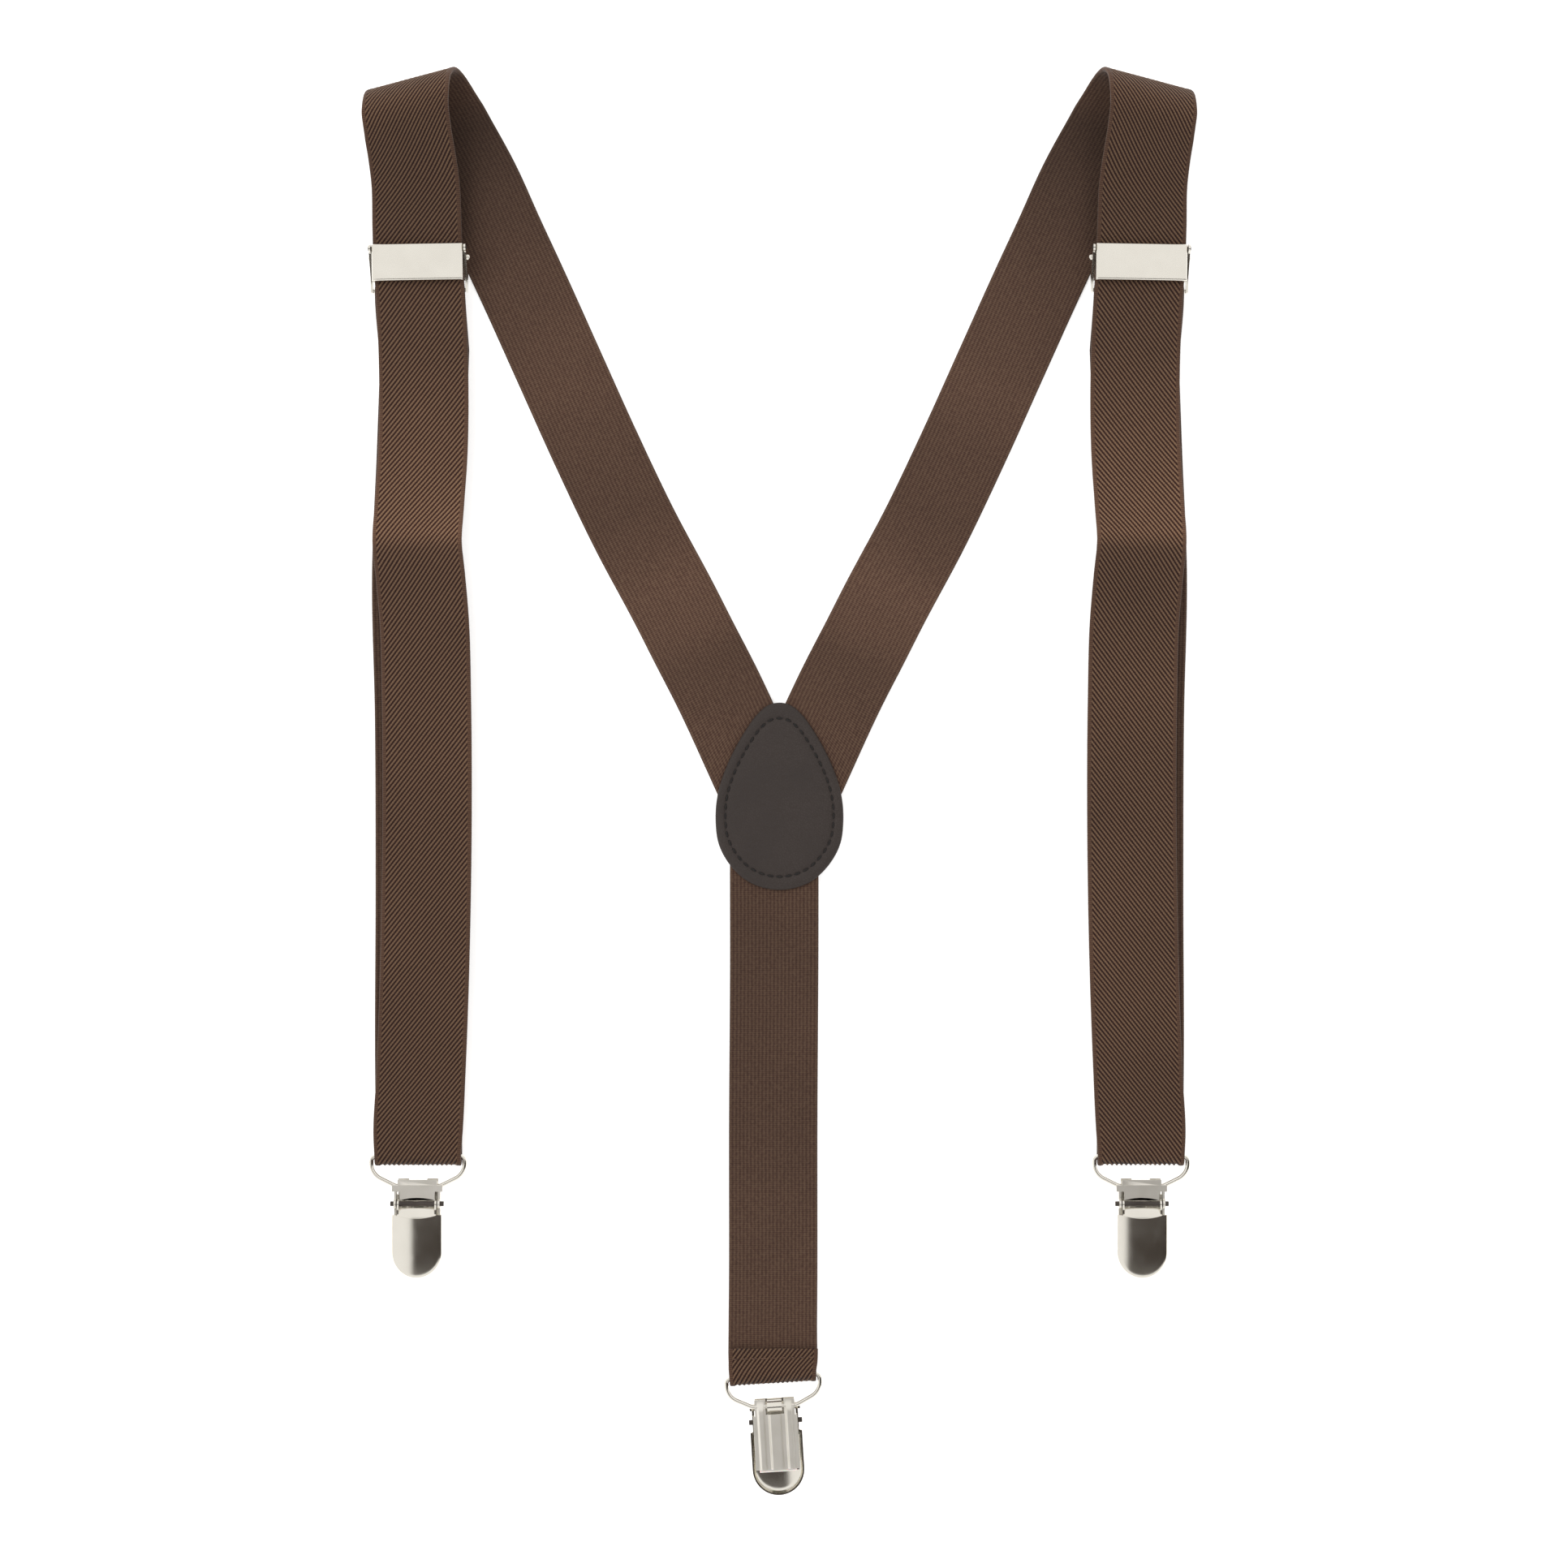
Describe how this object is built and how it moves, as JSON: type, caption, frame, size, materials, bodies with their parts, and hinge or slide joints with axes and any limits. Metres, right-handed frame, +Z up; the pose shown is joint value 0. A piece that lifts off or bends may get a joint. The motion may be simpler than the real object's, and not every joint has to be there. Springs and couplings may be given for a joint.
{
  "type": "suspenders",
  "caption": "Y-back clip suspenders of elastic webbing lying flat, with a crotch patch, sliding adjusters and hinged snap clips on wire loops.",
  "frame": {"origin": "centre of the whole object's footprint, on the table it lies on", "axes": "+Y from the back clip towards the shoulder folds, +Z up from the table, +X to the right seen from above"},
  "size_m": [0.237, 0.4079, 0.0156],
  "materials": {
    "webbing": "brown elastic webbing, diagonal twill outside",
    "webbing_inner": "brown elastic webbing, fine ribs inside",
    "leatherette": "matte dark brown leatherette",
    "thread": "dark brown sewing thread",
    "nickel": "satin nickel plate",
    "dark_nickel": "nickel plate, darker in the bores",
    "grip": "translucent white plastic"
  },
  "bodies": {
    "webbing": {"strap_left": "webbing", "strap_right": "webbing", "tail_left": "webbing_inner", "tail_right": "webbing_inner", "back_strap": "webbing_inner", "back_hem_stitching": "thread", "patch_outer": "leatherette", "patch_inner": "leatherette", "patch_stitching": "thread"},
    "adjuster_left": {"adjuster_frame_left": "nickel", "adjuster_pins_left": "dark_nickel", "adjuster_rivets_left": "nickel", "tail_end_left": "webbing_inner", "tail_stitching_left": "thread"},
    "adjuster_cover_left": {"adjuster_cover_left": "nickel"},
    "adjuster_right": {"adjuster_frame_right": "nickel", "adjuster_pins_right": "dark_nickel", "adjuster_rivets_right": "nickel", "tail_end_right": "webbing_inner", "tail_stitching_right": "thread"},
    "adjuster_cover_right": {"adjuster_cover_right": "nickel"},
    "loop_left": {"wire_loop_left": "nickel"},
    "clip_left": {"clip_frame_left": "nickel", "clip_pin_left": "dark_nickel", "clip_grip_left": "grip"},
    "jaw_left": {"clip_jaw_left": "nickel"},
    "lever_left": {"clip_lever_left": "nickel"},
    "loop_right": {"wire_loop_right": "nickel"},
    "clip_right": {"clip_frame_right": "nickel", "clip_pin_right": "dark_nickel", "clip_grip_right": "grip"},
    "jaw_right": {"clip_jaw_right": "nickel"},
    "lever_right": {"clip_lever_right": "nickel"},
    "loop_back": {"wire_loop_back": "nickel"},
    "clip_back": {"clip_frame_back": "nickel", "clip_pin_back": "dark_nickel", "clip_grip_back": "grip"},
    "jaw_back": {"clip_jaw_back": "nickel"},
    "lever_back": {"clip_lever_back": "nickel"}
  },
  "joints": [
    {"name": "adjuster_slide_left", "type": "slide", "parent": "webbing", "child": "adjuster_left", "axis": [0.0167, -0.9999, 0], "range_m": [-0.01, 0.15], "deforming": ["tail_left"]},
    {"name": "adjuster_cover_hinge_left", "type": "hinge", "parent": "adjuster_left", "child": "adjuster_cover_left", "pos_m": [-0.10292, 0.152, 0.00785], "axis": [-0.9999, -0.0167, 0], "range_deg": [0, 70]},
    {"name": "adjuster_slide_right", "type": "slide", "parent": "webbing", "child": "adjuster_right", "axis": [-0.0167, -0.9999, 0], "range_m": [-0.01, 0.15], "deforming": ["tail_right"]},
    {"name": "adjuster_cover_hinge_right", "type": "hinge", "parent": "adjuster_right", "child": "adjuster_cover_right", "pos_m": [0.10292, 0.152, 0.00785], "axis": [-0.9999, 0.0167, 0], "range_deg": [0, 70]},
    {"name": "loop_swing_left", "type": "hinge", "parent": "webbing", "child": "loop_left", "pos_m": [-0.1034, -0.10685, 0.00282], "axis": [1, 0, 0], "range_deg": [-80, 80]},
    {"name": "clip_swing_left", "type": "hinge", "parent": "loop_left", "child": "clip_left", "pos_m": [-0.1034, -0.11525, 0.00282], "axis": [1, 0, 0], "range_deg": [-80, 80]},
    {"name": "lever_left", "type": "hinge", "parent": "clip_left", "child": "lever_left", "pos_m": [-0.1034, -0.12005, 0.00472], "axis": [-1, 0, 0], "range_deg": [0, 95]},
    {"name": "jaw_left", "type": "hinge", "parent": "clip_left", "child": "jaw_left", "pos_m": [-0.1034, -0.11525, 0.00282], "axis": [1, 0, 0], "range_deg": [0, 9.5]},
    {"name": "loop_swing_right", "type": "hinge", "parent": "webbing", "child": "loop_right", "pos_m": [0.1034, -0.10685, 0.00282], "axis": [1, 0, 0], "range_deg": [-80, 80]},
    {"name": "clip_swing_right", "type": "hinge", "parent": "loop_right", "child": "clip_right", "pos_m": [0.1034, -0.11525, 0.00282], "axis": [1, 0, 0], "range_deg": [-80, 80]},
    {"name": "lever_right", "type": "hinge", "parent": "clip_right", "child": "lever_right", "pos_m": [0.1034, -0.12005, 0.00472], "axis": [-1, 0, 0], "range_deg": [0, 95]},
    {"name": "jaw_right", "type": "hinge", "parent": "clip_right", "child": "jaw_right", "pos_m": [0.1034, -0.11525, 0.00282], "axis": [1, 0, 0], "range_deg": [0, 9.5]},
    {"name": "loop_swing_back", "type": "hinge", "parent": "webbing", "child": "loop_back", "pos_m": [-0.00191, -0.16942, 0.0044], "axis": [-0.9981, -0.061, 0], "range_deg": [-80, 80]},
    {"name": "clip_swing_back", "type": "hinge", "parent": "loop_back", "child": "clip_back", "pos_m": [-0.0014, -0.1778, 0.0044], "axis": [-0.9981, -0.061, 0], "range_deg": [-80, 80]},
    {"name": "lever_back", "type": "hinge", "parent": "clip_back", "child": "lever_back", "pos_m": [-0.00111, -0.18259, 0.0025], "axis": [0.9981, 0.061, 0], "range_deg": [0, 95]},
    {"name": "jaw_back", "type": "hinge", "parent": "clip_back", "child": "jaw_back", "pos_m": [-0.0014, -0.1778, 0.0044], "axis": [-0.9981, -0.061, 0], "range_deg": [0, 9.5]}
  ],
  "couplings": [
    {"joint": "jaw_left", "follows": "lever_left", "ratio": 0.1},
    {"joint": "jaw_right", "follows": "lever_right", "ratio": 0.1},
    {"joint": "jaw_back", "follows": "lever_back", "ratio": 0.1}
  ]
}
